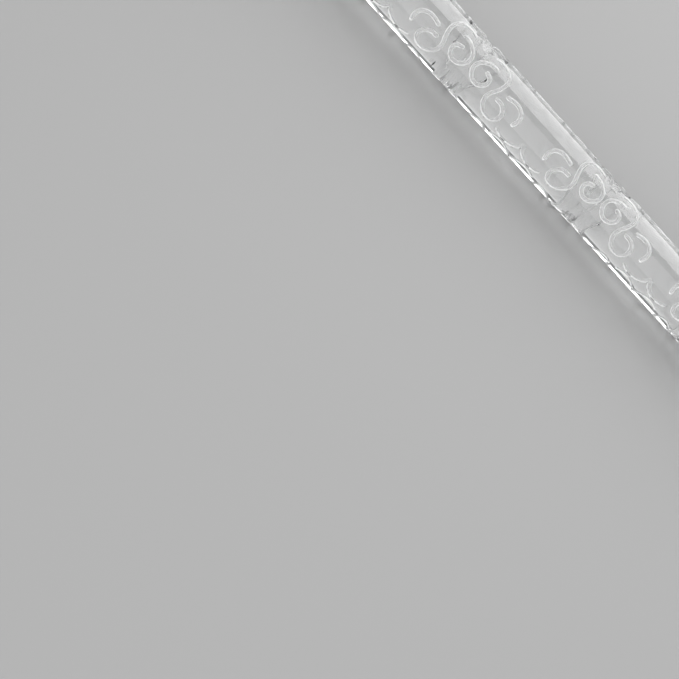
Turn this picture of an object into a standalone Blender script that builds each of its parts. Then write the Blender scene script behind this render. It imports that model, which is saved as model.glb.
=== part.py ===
"""Solid acrylic rolling pin, engraved all round with a trellis of scrolls, half daisies and stars.

Metres, +Z up. The rod lies along X, centred over the origin, and rests on the plane z = 0.
The ornament is drawn flat, as strokes along and around the rod, then wrapped on the barrel and cut.
"""
from math import cos, pi, radians, sin

import bmesh
import bpy

# Rod
LENGTH = 0.330
DIAMETER = 0.025
END_ROUND = 0.0012
FACETS = 40
ROUND_STEPS = 3
RADIUS = DIAMETER / 2
TURN = pi * DIAMETER

# Ornament: REPEAT is one chain and one star along the rod, and TURN is the way round it.
REPEAT = 0.074
BARE_END = 0.015
GROOVE_WIDTH = 0.0018
GROOVE_DEPTH = 0.0008
PETAL_WIDTH = 0.0056
PETAL_DEPTH = 0.0006
DAISY_DIAMETER = 0.0060
STAR_ROW_ANGLE = radians(-94)
LEAN_SHARE = 0.022

# Cutters stand this far proud of the barrel, and their seams are welded within WELD.
OVERRUN = 0.0003
WELD = 0.00001

# Right half of a chain: (share of REPEAT from the chain's middle, share of TURN from the star row).
COMMA_SHARES = (
    (0.379, 0.107), (0.385, 0.137), (0.374, 0.167), (0.345, 0.186), (0.307, 0.191), (0.262, 0.182),
)
SCROLL_SHARES = (
    (0.226, 0.137), (0.266, 0.133), (0.298, 0.106), (0.302, 0.068), (0.278, 0.038),
    (0.240, 0.034), (0.203, 0.056), (0.176, 0.094), (0.177, 0.131), (0.194, 0.168),
    (0.206, 0.211), (0.198, 0.255), (0.164, 0.287), (0.121, 0.295), (0.086, 0.286),
)
CURL_SHARES = (
    (0.118, 0.241), (0.086, 0.238), (0.053, 0.223), (0.026, 0.199), (0.018, 0.167), (0.031, 0.139),
    (0.059, 0.118), (0.091, 0.115), (0.118, 0.129), (0.131, 0.154), (0.122, 0.180), (0.094, 0.191),
)
SIDE_PETAL_SHARES = ((0.043, 0.327), (0.140, 0.404))
LONG_PETAL_SHARES = ((0, 0.349), (0, 0.487))
DAISY_SHARE = (0, 0.306)

# Width of a petal at even steps from its round foot to its point.
PETAL_TAPER_SHARES = (0.35, 0.78, 1, 0.92, 0.6, 0.1)

# A star is four arcs that bend inwards. Centre and radii are shares of REPEAT and of TURN.
STAR_CENTRE_SHARES = (0.097, 0.107)
STAR_RADIUS_SHARES = (0.101, 0.095)
STAR_ARC = (radians(204), radians(306))
STAR_POINTS = 6

DAISY_SIDES = 10
DAISY_RINGS = 6


def clear_scene():
    for item in list(bpy.data.objects):
        bpy.data.objects.remove(item)


def new_collection(name):
    collection = bpy.data.collections.new(name)
    bpy.context.scene.collection.children.link(collection)
    return collection


def acrylic_material():
    material = bpy.data.materials.new("clear_acrylic")
    material.use_nodes = True
    shader = material.node_tree.nodes["Principled BSDF"]
    shader.inputs["Base Color"].default_value = (0.96, 0.97, 0.97, 1)
    shader.inputs["Roughness"].default_value = 0.03
    shader.inputs["Metallic"].default_value = 0
    shader.inputs["IOR"].default_value = 1.49
    shader.inputs["Transmission Weight"].default_value = 1
    return material


def make_rod(collection):
    """The barrel's flats touch the true cylinder, so it lies on one of them at its full diameter."""
    mesh = bpy.data.meshes.new("engraved_rod")
    barrel = bmesh.new()
    reach = RADIUS / cos(pi / FACETS)
    bmesh.ops.create_cone(barrel, segments=FACETS, radius1=reach, radius2=reach, depth=LENGTH, cap_ends=True)
    barrel.to_mesh(mesh)
    barrel.free()
    mesh.shade_smooth()
    mesh.set_sharp_from_angle(angle=radians(40))
    mesh.materials.append(acrylic_material())
    rod = bpy.data.objects.new("engraved_rod", mesh)
    collection.objects.link(rod)
    rod.rotation_mode = "ZYX"
    rod.rotation_euler = (0, pi / 2, pi / FACETS)
    rod.location = (0, 0, RADIUS)
    rim = rod.modifiers.new("end_round", "BEVEL")
    rim.width = END_ROUND
    rim.segments = ROUND_STEPS
    rim.limit_method = "ANGLE"
    rim.angle_limit = radians(60)
    return rod


def wrap(mesh, steepness):
    """Lays a flat mesh on the barrel: x runs along it, y around it and z, times steepness, out of it."""
    for vertex in mesh.vertices:
        along, around, height = vertex.co
        angle = STAR_ROW_ANGLE + (around + LEAN_SHARE * along) / RADIUS
        reach = RADIUS + OVERRUN + height * steepness
        vertex.co = (along, reach * sin(angle), RADIUS + reach * cos(angle))


def add_cutter(mesh, cutters):
    mesh.shade_flat()
    cutter = bpy.data.objects.new(mesh.name, mesh)
    cutter.hide_render = True
    cutter.display_type = "WIRE"
    cutters.objects.link(cutter)


def cut_stroke(name, places, width, depth, tapers, cutters):
    """A V-shaped groove along flat places, with this width and depth at the barrel's surface."""
    curve = bpy.data.curves.new(name, "CURVE")
    curve.dimensions = "3D"
    curve.twist_mode = "Z_UP"
    curve.bevel_depth = width / 2 * (1 + OVERRUN / depth)
    curve.bevel_resolution = 0
    curve.use_fill_caps = True
    spline = curve.splines.new("POLY")
    spline.points.add(len(places) - 1)
    for point, (along, around), taper in zip(spline.points, places, tapers):
        point.co = (along, around, 0, 1)
        point.radius = taper
    guide = bpy.data.objects.new(name, curve)
    cutters.objects.link(guide)
    evaluated = guide.evaluated_get(bpy.context.evaluated_depsgraph_get())
    mesh = bpy.data.meshes.new_from_object(evaluated)
    mesh.name = name
    bpy.data.objects.remove(guide)
    tube = bmesh.new()
    tube.from_mesh(mesh)
    bmesh.ops.remove_doubles(tube, verts=tube.verts, dist=WELD)
    bmesh.ops.recalc_face_normals(tube, faces=tube.faces)
    tube.to_mesh(mesh)
    tube.free()
    wrap(mesh, depth / (width / 2))
    add_cutter(mesh, cutters)


def cut_petal(name, ends, cutters):
    foot, tip = ends
    steps = len(PETAL_TAPER_SHARES) - 1
    places = [tuple(a + (b - a) * k / steps for a, b in zip(foot, tip)) for k in range(steps + 1)]
    cut_stroke(name, places, PETAL_WIDTH, PETAL_DEPTH, PETAL_TAPER_SHARES, cutters)


def cut_daisy(name, place, cutters):
    """The daisy's round middle is a dimple, cut by a flattened ball."""
    mesh = bpy.data.meshes.new(name)
    ball = bmesh.new()
    radius = DAISY_DIAMETER / 2
    bmesh.ops.create_uvsphere(ball, u_segments=DAISY_SIDES, v_segments=DAISY_RINGS, radius=radius)
    bmesh.ops.translate(ball, verts=ball.verts, vec=(*place, 0))
    ball.to_mesh(mesh)
    ball.free()
    wrap(mesh, (PETAL_DEPTH + OVERRUN) / radius)
    add_cutter(mesh, cutters)


def flat_place(share, middle, side, row):
    """Shares to metres: side mirrors about the middle of a chain or star, row about the star row."""
    along, around = share
    return (middle + side * along * REPEAT, row * around * TURN)


def flat_places(shares, middle, side, row):
    return [flat_place(share, middle, side, row) for share in shares]


def cut_grooves(name, shares, middle, cutters):
    """One stroke and its mirror images."""
    for side in (-1, 1):
        for row in (-1, 1):
            places = flat_places(shares, middle, side, row)
            cut_stroke(name, places, GROOVE_WIDTH, GROOVE_DEPTH, [1] * len(places), cutters)


def cut_chains(middle, cutters):
    """A chain on each side of the star row: commas, scrolls and curls, with half a daisy on top."""
    cut_grooves("comma", COMMA_SHARES, middle, cutters)
    cut_grooves("scroll", SCROLL_SHARES, middle, cutters)
    cut_grooves("curl", CURL_SHARES, middle, cutters)
    for row in (-1, 1):
        for side in (-1, 1):
            cut_petal("side_petal", flat_places(SIDE_PETAL_SHARES, middle, side, row), cutters)
        cut_petal("long_petal", flat_places(LONG_PETAL_SHARES, middle, 1, row), cutters)
        cut_daisy("daisy", flat_place(DAISY_SHARE, middle, 1, row), cutters)


def star_arc_shares():
    start, end = STAR_ARC
    angles = [start + (end - start) * k / (STAR_POINTS - 1) for k in range(STAR_POINTS)]
    along, around = STAR_CENTRE_SHARES
    along_radius, around_radius = STAR_RADIUS_SHARES
    return [(along + along_radius * cos(a), around + around_radius * sin(a)) for a in angles]


def engrave(rod, cutters):
    """Whole chains only, with a star between each and the next, cut from the rod in one go."""
    repeats = int((LENGTH - 2 * BARE_END) / REPEAT)
    middles = [REPEAT * (k - (repeats - 1) / 2) for k in range(repeats)]
    for middle in middles:
        cut_chains(middle, cutters)
    for left, right in zip(middles, middles[1:]):
        cut_grooves("star", star_arc_shares(), (left + right) / 2, cutters)
    ornament = rod.modifiers.new("ornament", "BOOLEAN")
    ornament.operation = "DIFFERENCE"
    ornament.operand_type = "COLLECTION"
    ornament.solver = "EXACT"
    ornament.collection = cutters


def main():
    clear_scene()
    rod = make_rod(new_collection("acrylic_rolling_pin"))
    engrave(rod, new_collection("ornament_cutters"))


main()
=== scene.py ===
from math import ceil, cos, pi, radians, sin

import bpy
import numpy as np
from mathutils import Matrix, Vector
from mathutils.geometry import delaunay_2d_cdt


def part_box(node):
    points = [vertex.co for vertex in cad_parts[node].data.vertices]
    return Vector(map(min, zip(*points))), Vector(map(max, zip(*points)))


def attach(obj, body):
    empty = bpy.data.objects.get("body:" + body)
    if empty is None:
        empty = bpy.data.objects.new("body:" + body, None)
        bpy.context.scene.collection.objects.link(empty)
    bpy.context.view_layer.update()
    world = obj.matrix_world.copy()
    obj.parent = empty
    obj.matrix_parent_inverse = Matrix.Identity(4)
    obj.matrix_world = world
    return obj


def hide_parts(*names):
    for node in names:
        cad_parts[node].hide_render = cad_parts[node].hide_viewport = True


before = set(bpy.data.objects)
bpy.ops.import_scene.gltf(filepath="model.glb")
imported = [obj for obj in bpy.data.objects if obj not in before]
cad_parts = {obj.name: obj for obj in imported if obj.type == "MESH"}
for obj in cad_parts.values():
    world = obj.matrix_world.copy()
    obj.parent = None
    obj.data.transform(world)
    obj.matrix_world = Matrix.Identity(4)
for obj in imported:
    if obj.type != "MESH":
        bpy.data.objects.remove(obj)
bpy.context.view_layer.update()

# Looks of a solid acrylic rolling pin, as one closed mesh with its ornament cut into the barrel.
# A cell is a quarter of the ornament's repeat. It is meshed flat, mirrored, repeated and wrapped.

# Sizes are in metres. The rod's length and radius come from its CAD solid.
ROD_LOW, ROD_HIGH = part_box("engraved_rod")
LENGTH = ROD_HIGH.x - ROD_LOW.x
RADIUS = (ROD_HIGH.z - ROD_LOW.z) / 2
TURN = 2 * pi * RADIUS
END_ROUND = 0.0012
END_STEPS = 6

# Ornament: REPEAT is one chain and one star along the rod, and TURN is the way round it.
# It leans, and moves round the barrel by LEAN_SHARE of its way along it.
REPEAT = 0.074
REPEATS = 4
ENGRAVED_LENGTH = REPEATS * REPEAT
GROOVE_WIDTH = 0.0018
GROOVE_DEPTH = 0.0008
PETAL_WIDTH = 0.0056
PETAL_DEPTH = 0.0006
DAISY_DIAMETER = 0.0060
STAR_ROW_ANGLE = radians(-94)
LEAN_SHARE = 0.022

# Right half of a chain: (share of REPEAT from the chain's middle, share of TURN from the star row).
COMMA_SHARES = (
    (0.379, 0.107), (0.385, 0.137), (0.374, 0.167), (0.345, 0.186), (0.307, 0.191), (0.262, 0.182),
)
SCROLL_SHARES = (
    (0.226, 0.137), (0.266, 0.133), (0.298, 0.106), (0.302, 0.068), (0.278, 0.038),
    (0.240, 0.034), (0.203, 0.056), (0.176, 0.094), (0.177, 0.131), (0.194, 0.168),
    (0.206, 0.211), (0.198, 0.255), (0.164, 0.287), (0.121, 0.295), (0.086, 0.286),
)
CURL_SHARES = (
    (0.118, 0.241), (0.086, 0.238), (0.053, 0.223), (0.026, 0.199), (0.018, 0.167), (0.031, 0.139),
    (0.059, 0.118), (0.091, 0.115), (0.118, 0.129), (0.131, 0.154), (0.122, 0.180), (0.094, 0.191),
)
SIDE_PETAL_SHARES = ((0.043, 0.327), (0.140, 0.404))
LONG_PETAL_SHARES = ((0, 0.349), (0, 0.487))
DAISY_SHARE = (0, 0.306)

# A petal's width along its length: its widest place, and how full its foot and its tip are.
PETAL_WIDEST_SHARE = 0.4
PETAL_FOOT_POWER = 0.5
PETAL_TIP_POWER = 0.75

# A star is four arcs that bend inwards. Centre and radii are shares of REPEAT and of TURN.
STAR_CENTRE_SHARES = (0.097, 0.107)
STAR_RADIUS_SHARES = (0.101, 0.095)
STAR_ARC = (radians(204), radians(306))

# Spacing of the mesh's points: along a cut, on a cell's border, and along and around the plain barrel.
CUT_PITCH = 0.00035
BORDER_PITCH = 0.00040
PLAIN_PITCHES = (0.0024, 0.0006)
LEAST_PITCH = 0.00012
ACROSS_SHARES = (0, 0.45, 0.8, 1)
CURVE_STEPS = 10
PETAL_STEPS = 40
DAISY_STEPS = 26
STAR_STEPS = 30
CAP_STEPS = 9

# Places and angles that agree to this many digits are one, and flat points within MERGE are one.
DIGITS = 7
MERGE = 1e-9

# Slopes are measured over SLOPE_REACH, at probes a little inside each triangle's corners.
SLOPE_REACH = 0.00002
PROBE_SHARE = 0.12

# A cut's floor turns into a wall between these two slopes. Its floor is this much of a wall.
WALL_SLOPES = (0.4, 0.85)
FLOOR_SHARE = 0.12

# The rod's finishes, in the order of its material slots.
POLISHED, CUT, FACED = range(3)

# One triangle: where its corners are, how they face, how much of a cut's wall they are, its finish.
TRIANGLE = np.dtype([
    ("place", float, (3, 3)),
    ("normal", float, (3, 3)),
    ("wall", float, 3),
    ("finish", int),
])

# Acrylic. The scales of its noises are in cells to a metre: along the rod, across it and up.
ACRYLIC_COLOR = (0.985, 0.99, 0.99)
ACRYLIC_IOR = 1.49

# Polished barrel: faint lathe marks, fine along the rod and long around it.
LATHE_SCALES = (900, 40, 40)
LATHE_DETAIL = 2
LATHE_ROUGHNESS = (0.0, 0.03)

# Cuts, from floor to wall, with fine tool marks. Speckle varies how frosted a place is.
CUT_ROUGHNESS = (0.03, 0.35)
CUT_CLEARNESS = (0.98, 0.0)
SPECKLE_SCALES = (1300, 1300, 1300)
SPECKLE_DETAIL = 2
SPECKLE = (0.2, 1.8)
TOOL_SCALES = (3000, 3000, 3000)
TOOL_DETAIL = 1
TOOL_STRENGTH = 1.0
TOOL_DEPTH = 0.00008

# Flat ends, with the fine rings of facing off, about two to a millimetre.
FACED_ROUGHNESS = 0.12
FACED_CLEARNESS = 0.9
FACED_SCALE = 700
FACED_DISTORTION = 0.6
FACED_STRENGTH = 0.4
FACED_DEPTH = 0.00002

# Floor and plain light
FLOOR_REACH = 20
FLOOR_COLOR = (0.42, 0.42, 0.42)
FLOOR_ROUGHNESS = 0.6
FLOOR_GLOSS = 0.2
WORLD_STRENGTH = 0.12

# Soft panels. The far one leans over the rod, and its reflection is the pale band along the rod.
# The near one lights the cuts' other walls.
FAR_PANEL = {"place": (0.28, 1.52, 1.6), "target": (0.28, 0, RADIUS), "size": (1.4, 2.86), "brightness": 3.9}
NEAR_PANEL = {"place": (0, -2.0, 2.0), "target": (0, 0, 0), "size": (6, 3.6), "brightness": 1.45}

# Camera, fitted to the rod's edges and ornament in the photograph, which is PHOTO_PIXELS wide.
CAMERA_AZIMUTH = radians(17.23)
CAMERA_ELEVATION = radians(59.51)
CAMERA_ROLL = radians(60.78)
CAMERA_DISTANCE = 0.41252
CAMERA_TARGET = (-0.00385, -0.1275, RADIUS)
PHOTO_PIXELS = 679
FOCAL_PIXELS = 1200
SENSOR_MILLIMETRES = 36


def smooth_line(points):
    """A Catmull-Rom line through the points."""
    p = np.array(points, float)
    p = np.vstack([2 * p[0] - p[1], p, 2 * p[-1] - p[-2]])
    t = np.linspace(0, 1, CURVE_STEPS, endpoint=False)[:, None]
    parts = [
        b + ((c - a) * t + (2 * a - 5 * b + 4 * c - d) * t**2 + (3 * b - a - 3 * c + d) * t**3) / 2
        for a, b, c, d in zip(p, p[1:], p[2:], p[3:])
    ]
    return np.vstack([*parts, p[-2:-1]])


def even_line(line, pitch):
    """The same line with evenly spaced points."""
    steps = np.linalg.norm(np.diff(line, axis=0), axis=1)
    reach = np.concatenate([[0], np.cumsum(steps)])
    even = np.linspace(0, reach[-1], ceil(reach[-1] / pitch) + 1)
    return np.stack([np.interp(even, reach, line[:, k]) for k in range(2)], axis=1)


def to_metres(shares):
    return np.array(shares, float) * (REPEAT, TURN)


def groove(line):
    half = GROOVE_WIDTH / 2
    return {
        "line": line,
        "half_widths": np.full(len(line), half),
        "widest": half,
        "depth": GROOVE_DEPTH,
    }


def petal_fullness(t):
    return t**PETAL_FOOT_POWER * (1 - t) ** PETAL_TIP_POWER


def petal(ends):
    """Narrow at the round foot, and pointed at the tip."""
    t = np.linspace(0, 1, PETAL_STEPS + 2)[1:-1]
    foot, tip = to_metres(ends)
    return {
        "line": foot + (tip - foot) * t[:, None],
        "half_widths": PETAL_WIDTH / 2 * petal_fullness(t) / petal_fullness(PETAL_WIDEST_SHARE),
        "widest": PETAL_WIDTH / 2,
        "depth": PETAL_DEPTH,
    }


def daisy_middle():
    """A round dimple, drawn as a cut whose width follows a circle."""
    radius = DAISY_DIAMETER / 2
    turn = np.linspace(pi, 0, DAISY_STEPS + 2)[1:-1]
    return {
        "line": to_metres(DAISY_SHARE) + radius * np.stack([0 * turn, np.cos(turn)], axis=1),
        "half_widths": radius * np.sin(turn),
        "widest": radius,
        "depth": PETAL_DEPTH,
    }


def star_arc():
    """Drawn in the cell of the chain beside it, so it is mirrored to that chain's far end."""
    angles = np.linspace(*STAR_ARC, STAR_STEPS)
    centre, radii = to_metres(STAR_CENTRE_SHARES), to_metres(STAR_RADIUS_SHARES)
    arc = centre + radii * np.stack([np.cos(angles), np.sin(angles)], axis=1)
    arc[:, 0] = REPEAT / 2 - arc[:, 0]
    return arc


def cell_cuts(with_star):
    """Every cut that touches a cell: a quarter of a chain's repeat, from its middle to the next star's."""
    comma, scroll, curl = [smooth_line(to_metres(s)) for s in (COMMA_SHARES, SCROLL_SHARES, CURL_SHARES)]
    lines = [comma, scroll, curl, curl * (-1, 1)]
    if with_star:
        lines += [star_arc(), star_arc() * (-1, 1) + (REPEAT, 0)]
    cuts = [groove(even_line(line, CUT_PITCH)) for line in lines]
    return cuts + [petal(SIDE_PETAL_SHARES), petal(LONG_PETAL_SHARES), daisy_middle()]


def cut_depth(cut, points):
    """Depth of one cut at the points, 0 outside it. Its section is half an ellipse."""
    line, widths, widest = cut["line"], cut["half_widths"], cut["widest"]
    near = np.all((points > line.min(0) - widest) & (points < line.max(0) + widest), axis=1)
    p = points[near]
    deepest = np.zeros(len(p))
    for a, b, width_a, width_b in zip(line, line[1:], widths, widths[1:]):
        ab = b - a
        t = np.clip((p - a) @ ab / (ab @ ab), 0, 1)
        off = np.linalg.norm(p - a - t[:, None] * ab, axis=1)
        width = width_a + (width_b - width_a) * t
        inside = np.sqrt(np.clip(1 - (off / width) ** 2, 0, 1))
        deepest = np.maximum(deepest, inside * width / widest)
    depth = np.zeros(len(points))
    depth[near] = deepest * cut["depth"]
    return depth


def total_depth(cuts, points):
    return np.max([cut_depth(cut, points) for cut in cuts], axis=0)


def slopes_of_depth(cuts, points):
    """How fast the cuts deepen at the points, along the rod and around it."""
    slopes = []
    for step in np.eye(2) * SLOPE_REACH:
        rise = total_depth(cuts, points + step) - total_depth(cuts, points - step)
        slopes.append(rise / (2 * SLOPE_REACH))
    return np.stack(slopes, axis=-1)


def wall_shares(cuts, points, slopes):
    """1 on the steep walls of a cut, FLOOR_SHARE on its floor, and 0 on the plain barrel."""
    walls = np.interp(np.linalg.norm(slopes, axis=-1), WALL_SLOPES, (FLOOR_SHARE, 1))
    return np.where(total_depth(cuts, points) > 0, walls, 0)


def points_of_cut(cut):
    """Rows of points along a cut, from its edges in to its middle line, and round its two ends."""
    line, widths = cut["line"], cut["half_widths"]
    along = np.gradient(line, axis=0)
    along /= np.linalg.norm(along, axis=1)[:, None]
    across = np.stack([-along[:, 1], along[:, 0]], axis=1)
    rows = []
    for share in reversed(ACROSS_SHARES):
        for side in (1, -1):
            rows.append(line + across * (side * share * widths)[:, None])
    turns = np.linspace(-pi / 2, pi / 2, CAP_STEPS)[1:-1]
    for end, outward in ((0, -1), (-1, 1)):
        for share in reversed(ACROSS_SHARES[1:]):
            for turn in turns:
                step = outward * along[end] * cos(turn) + across[end] * sin(turn)
                rows.append((line[end] + step * share * widths[end])[None])
    return np.vstack(rows)


def thin_out(kept, more, least):
    """The kept points, and each of the others that lies no closer than least to one before it."""
    kept = list(kept)
    grid = {}

    def square(p):
        return int(p[0] // least), int(p[1] // least)

    def near(p):
        x, y = square(p)
        return [q for i in (-1, 0, 1) for j in (-1, 0, 1) for q in grid.get((x + i, y + j), ())]

    for p in kept:
        grid.setdefault(square(p), []).append(p)
    for p in more:
        if all((q[0] - p[0]) ** 2 + (q[1] - p[1]) ** 2 >= least**2 for q in near(p)):
            kept.append(p)
            grid.setdefault(square(p), []).append(p)
    return np.array(kept)


def even_steps(reach, pitch):
    return np.linspace(0, reach, ceil(reach / pitch) + 1)


def border_points(width, height):
    across, up = even_steps(width, BORDER_PITCH), even_steps(height, BORDER_PITCH)
    sides = [np.stack([across, np.full_like(across, y)], axis=1) for y in (0, height)]
    sides += [np.stack([np.full_like(up, x), up], axis=1)[1:-1] for x in (0, width)]
    return np.vstack(sides)


def cell_points(cuts, width, height):
    """Points close together on the cuts and the border, and wider apart on the plain barrel."""
    on_cuts = np.vstack([points_of_cut(cut) for cut in cuts])
    low, high = LEAST_PITCH, np.array([width, height]) - LEAST_PITCH
    inside = np.all((on_cuts > low) & (on_cuts < high), axis=1)
    points = thin_out(border_points(width, height), on_cuts[inside], LEAST_PITCH)
    xs, ys = [even_steps(*pair)[1:-1] for pair in zip((width, height), PLAIN_PITCHES)]
    plain = np.stack(np.meshgrid(xs, ys, indexing="ij"), axis=-1).reshape(-1, 2)
    return thin_out(points, plain, min(PLAIN_PITCHES) / 2)


def make_cell(with_star):
    """A cell's flat triangles: their corners, with depth, slopes and wall shares."""
    width, height = REPEAT / 2, TURN / 2
    cuts = cell_cuts(with_star)
    points = cell_points(cuts, width, height)
    made = delaunay_2d_cdt([Vector(p) for p in points.tolist()], [], [], 0, MERGE)
    flat = np.array([tuple(v) for v in made[0]])
    faces = np.array(made[2])
    # Corners on the border keep its exact place, so that neighbouring cells share them.
    for axis, limit in ((0, width), (1, height)):
        for border in (0, limit):
            flat[np.abs(flat[:, axis] - border) < LEAST_PITCH / 2, axis] = border
    corners = flat[faces]
    middles = corners.mean(axis=1, keepdims=True)
    probes = (corners + (middles - corners) * PROBE_SHARE).reshape(-1, 2)
    slopes = slopes_of_depth(cuts, probes)
    walls = wall_shares(cuts, probes, slopes)
    depth = total_depth(cuts, flat)[faces]
    return corners, depth, slopes.reshape(corners.shape), walls.reshape(faces.shape)


def round_the_barrel(angle):
    """Outward directions at angles from straight up, and the directions round the barrel there."""
    zero = np.zeros_like(angle)
    outward = np.stack([zero, np.sin(angle), np.cos(angle)], axis=-1)
    onward = np.stack([zero, np.cos(angle), -np.sin(angle)], axis=-1)
    return outward, onward


def wrap(along, around, depth, slopes):
    """Places and normals on the barrel for flat places, depths and slopes."""
    outward, onward = round_the_barrel(STAR_ROW_ANGLE + (around + LEAN_SHARE * along) / RADIUS)
    reach = RADIUS - depth
    place = outward * reach[..., None] + (0, 0, RADIUS)
    place[..., 0] = along
    normal = outward + onward * (slopes[..., 1] * RADIUS / reach)[..., None]
    normal[..., 0] += slopes[..., 0] - LEAN_SHARE * slopes[..., 1]
    return place, normal / np.linalg.norm(normal, axis=-1, keepdims=True)


def wrapped_cell(cell, middle, side, row):
    """A cell's triangles on the barrel: side mirrors it about its chain's middle, row about the star row."""
    corners, depth, slopes, walls = cell
    triangles = np.zeros(len(corners), TRIANGLE)
    along, around = middle + side * corners[..., 0], row * corners[..., 1]
    triangles["place"], triangles["normal"] = wrap(along, around, depth, slopes * (side, row))
    triangles["wall"] = walls
    triangles["finish"] = np.where(walls.min(axis=1) > 0, CUT, POLISHED)
    return triangles


def engraved_stretch():
    """The barrel from the first chain to the last. A star stands between each chain and the next."""
    starred, plain = make_cell(True), make_cell(False)
    parts = []
    for k in range(REPEATS):
        middle = REPEAT * (k - (REPEATS - 1) / 2)
        for side, outermost in ((-1, 0), (1, REPEATS - 1)):
            cell = plain if k == outermost else starred
            parts += [wrapped_cell(cell, middle, side, row) for row in (-1, 1)]
    return np.concatenate(parts)


def ring_angles(triangles, along):
    """Angles of the corners that lie on one ring of the barrel, in order."""
    corners = triangles["place"].reshape(-1, 3)
    ring = corners[np.abs(corners[:, 0] - along) < LEAST_PITCH / 2]
    angles = np.arctan2(ring[:, 1], ring[:, 2] - RADIUS) % (2 * pi)
    _, first = np.unique(np.round(angles, DIGITS), return_index=True)
    return angles[first]


def end_rings(side):
    """(Place along the rod, radius, tilt of the normal) for each ring of a bare end."""
    rings = [(side * ENGRAVED_LENGTH / 2, RADIUS, 0)]
    for k in range(END_STEPS + 1):
        tilt = k / END_STEPS * pi / 2
        along = LENGTH / 2 - END_ROUND * (1 - sin(tilt))
        rings.append((side * along, RADIUS - END_ROUND * (1 - cos(tilt)), tilt))
    return rings


def ring_corners(ring, outward, side):
    """Places and normals of a ring's corners."""
    along, radius, tilt = ring
    place = outward * radius + (along, 0, RADIUS)
    return place, outward * cos(tilt) + (side * sin(tilt), 0, 0)


def bare_end(angles, side):
    """Plain barrel, rounded rim and flat end, from the engraved stretch's last ring out."""
    here, _ = round_the_barrel(angles)
    following = np.roll(here, -1, axis=0)
    parts = []
    rings = end_rings(side)
    for inner, outer in zip(rings, rings[1:]):
        a, b = ring_corners(inner, here, side), ring_corners(outer, here, side)
        c, d = ring_corners(outer, following, side), ring_corners(inner, following, side)
        for trio in ((a, b, c), (a, c, d)):
            triangles = np.zeros(len(angles), TRIANGLE)
            triangles["place"] = np.stack([place for place, _ in trio], axis=1)
            triangles["normal"] = np.stack([normal for _, normal in trio], axis=1)
            parts.append(triangles)
    disc = np.zeros(len(angles), TRIANGLE)
    disc["place"][:, 0] = (side * LENGTH / 2, 0, RADIUS)
    disc["place"][:, 1] = ring_corners(rings[-1], here, side)[0]
    disc["place"][:, 2] = ring_corners(rings[-1], following, side)[0]
    disc["normal"] = (side, 0, 0)
    disc["finish"] = FACED
    return np.concatenate([*parts, disc])


def face_outwards(triangles):
    """Turns over each triangle whose winding goes against its normals."""
    place = triangles["place"]
    facing = np.cross(place[:, 1] - place[:, 0], place[:, 2] - place[:, 0])
    wrong = np.einsum("ij,ij->i", facing, triangles["normal"].mean(axis=1)) < 0
    for name in ("place", "normal", "wall"):
        triangles[name][wrong] = triangles[name][wrong][:, ::-1]


def rod_mesh():
    barrel = engraved_stretch()
    ends = [bare_end(ring_angles(barrel, side * ENGRAVED_LENGTH / 2), side) for side in (-1, 1)]
    triangles = np.concatenate([barrel, *ends])
    face_outwards(triangles)
    places = triangles["place"].reshape(-1, 3)
    _, first, index = np.unique(
        np.round(places, DIGITS), axis=0, return_index=True, return_inverse=True
    )
    mesh = bpy.data.meshes.new("engraved_barrel")
    mesh.from_pydata(places[first].tolist(), [], index.reshape(-1, 3).tolist())
    mesh.polygons.foreach_set("material_index", triangles["finish"].astype(np.int32))
    mesh.shade_smooth()
    mesh.normals_split_custom_set(triangles["normal"].reshape(-1, 3).tolist())
    wall = mesh.attributes.new("wall", "FLOAT", "CORNER")
    wall.data.foreach_set("value", triangles["wall"].reshape(-1).astype(np.float32))
    return mesh


def principled(name, color, roughness):
    material = bpy.data.materials.new(name)
    material.use_nodes = True
    shader = material.node_tree.nodes["Principled BSDF"]
    shader.inputs["Base Color"].default_value = (*color, 1)
    shader.inputs["Roughness"].default_value = roughness
    return material, shader


def new_acrylic(name, roughness=0, clearness=1):
    material, shader = principled(name, ACRYLIC_COLOR, roughness)
    shader.inputs["IOR"].default_value = ACRYLIC_IOR
    shader.inputs["Transmission Weight"].default_value = clearness
    return material, shader


def noise(tree, scales, detail):
    """Noise in the object's own space, with its own scale along the rod, across it and up."""
    place = tree.nodes.new("ShaderNodeTexCoord")
    stretch = tree.nodes.new("ShaderNodeMapping")
    stretch.inputs["Scale"].default_value = scales
    texture = tree.nodes.new("ShaderNodeTexNoise")
    texture.inputs["Scale"].default_value = 1
    texture.inputs["Detail"].default_value = detail
    tree.links.new(place.outputs["Object"], stretch.inputs["Vector"])
    tree.links.new(stretch.outputs["Vector"], texture.inputs["Vector"])
    return texture.outputs["Fac"]


def spread(tree, value, low, high):
    """Maps 0 to 1 onto low to high."""
    node = tree.nodes.new("ShaderNodeMapRange")
    node.inputs["To Min"].default_value = low
    node.inputs["To Max"].default_value = high
    tree.links.new(value, node.inputs["Value"])
    return node.outputs["Result"]


def product(tree, first, second):
    node = tree.nodes.new("ShaderNodeMath")
    node.operation = "MULTIPLY"
    tree.links.new(first, node.inputs[0])
    tree.links.new(second, node.inputs[1])
    return node.outputs["Value"]


def add_bump(tree, shader, height, strength, depth):
    bump = tree.nodes.new("ShaderNodeBump")
    bump.inputs["Strength"].default_value = strength
    bump.inputs["Distance"].default_value = depth
    tree.links.new(height, bump.inputs["Height"])
    tree.links.new(bump.outputs["Normal"], shader.inputs["Normal"])


def polished_acrylic():
    material, shader = new_acrylic("clear_acrylic")
    tree = material.node_tree
    marks = noise(tree, LATHE_SCALES, LATHE_DETAIL)
    tree.links.new(spread(tree, marks, *LATHE_ROUGHNESS), shader.inputs["Roughness"])
    return material


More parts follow.
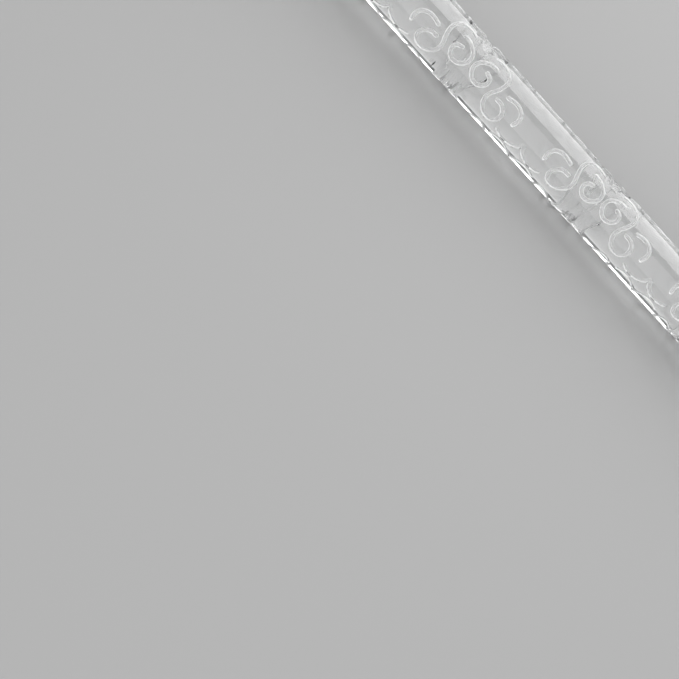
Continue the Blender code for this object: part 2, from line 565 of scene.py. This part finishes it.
def cut_acrylic():
    """Frosted where the cutter went, and whitest on the steep walls."""
    material, shader = new_acrylic("cut_acrylic")
    tree = material.node_tree
    wall = tree.nodes.new("ShaderNodeAttribute")
    wall.attribute_name = "wall"
    speckle = spread(tree, noise(tree, SPECKLE_SCALES, SPECKLE_DETAIL), *SPECKLE)
    frost = product(tree, wall.outputs["Fac"], speckle)
    tree.links.new(spread(tree, frost, *CUT_ROUGHNESS), shader.inputs["Roughness"])
    tree.links.new(spread(tree, frost, *CUT_CLEARNESS), shader.inputs["Transmission Weight"])
    add_bump(tree, shader, noise(tree, TOOL_SCALES, TOOL_DETAIL), TOOL_STRENGTH, TOOL_DEPTH)
    return material


def faced_acrylic():
    material, shader = new_acrylic("faced_acrylic", FACED_ROUGHNESS, FACED_CLEARNESS)
    tree = material.node_tree
    place = tree.nodes.new("ShaderNodeTexCoord")
    centre = tree.nodes.new("ShaderNodeMapping")
    centre.inputs["Location"].default_value = (0, 0, -RADIUS)
    rings = tree.nodes.new("ShaderNodeTexWave")
    rings.wave_type = "RINGS"
    rings.rings_direction = "X"
    rings.inputs["Scale"].default_value = FACED_SCALE
    rings.inputs["Distortion"].default_value = FACED_DISTORTION
    tree.links.new(place.outputs["Object"], centre.inputs["Vector"])
    tree.links.new(centre.outputs["Vector"], rings.inputs["Vector"])
    add_bump(tree, shader, rings.outputs["Fac"], FACED_STRENGTH, FACED_DEPTH)
    return material


def add_object(name, data):
    item = bpy.data.objects.new(name, data)
    bpy.context.scene.collection.objects.link(item)
    return item


def add_rod():
    rod = add_object("engraved_barrel", rod_mesh())
    for finish in (polished_acrylic(), cut_acrylic(), faced_acrylic()):
        rod.data.materials.append(finish)
    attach(rod, "root")
    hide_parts("engraved_rod")


def add_floor():
    mesh = bpy.data.meshes.new("floor")
    corners = [(x * FLOOR_REACH, y * FLOOR_REACH, 0) for x, y in ((-1, -1), (1, -1), (1, 1), (-1, 1))]
    mesh.from_pydata(corners, [], [(0, 1, 2, 3)])
    material, shader = principled("pale_floor", FLOOR_COLOR, FLOOR_ROUGHNESS)
    shader.inputs["Specular IOR Level"].default_value = FLOOR_GLOSS
    mesh.materials.append(material)
    add_object("floor", mesh)


def add_panel(name, place, target, size, brightness):
    """A soft rectangular lamp, with a face brightness times as bright as a world of strength 1."""
    data = bpy.data.lights.new(name, "AREA")
    data.shape = "RECTANGLE"
    data.size, data.size_y = size
    data.energy = brightness * pi * data.size * data.size_y
    lamp = add_object(name, data)
    lamp.location = place
    lamp.rotation_euler = (Vector(target) - Vector(place)).to_track_quat("-Z", "Y").to_euler()
    lamp.visible_camera = False


def make_world():
    world = bpy.data.worlds.new("studio")
    world.use_nodes = True
    background = world.node_tree.nodes["Background"]
    background.inputs["Color"].default_value = (1, 1, 1, 1)
    background.inputs["Strength"].default_value = WORLD_STRENGTH
    bpy.context.scene.world = world


def make_camera():
    azimuth, elevation, roll = CAMERA_AZIMUTH, CAMERA_ELEVATION, CAMERA_ROLL
    forward = Vector((sin(azimuth) * cos(elevation), cos(azimuth) * cos(elevation), -sin(elevation)))
    level = Vector((cos(azimuth), -sin(azimuth), 0))
    up = level.cross(forward)
    right = level * cos(roll) + up * sin(roll)
    top = up * cos(roll) - level * sin(roll)
    data = bpy.data.cameras.new("camera")
    data.sensor_width = SENSOR_MILLIMETRES
    data.lens = SENSOR_MILLIMETRES * FOCAL_PIXELS / PHOTO_PIXELS
    place = Matrix((right, top, -forward)).transposed().to_4x4()
    place.translation = Vector(CAMERA_TARGET) - CAMERA_DISTANCE * forward
    camera = add_object("camera", data)
    camera.matrix_world = place
    bpy.context.scene.camera = camera


add_rod()
add_floor()
add_panel("far_panel", **FAR_PANEL)
add_panel("near_panel", **NEAR_PANEL)
make_world()
make_camera()
bpy.context.scene.view_settings.view_transform = "Standard"
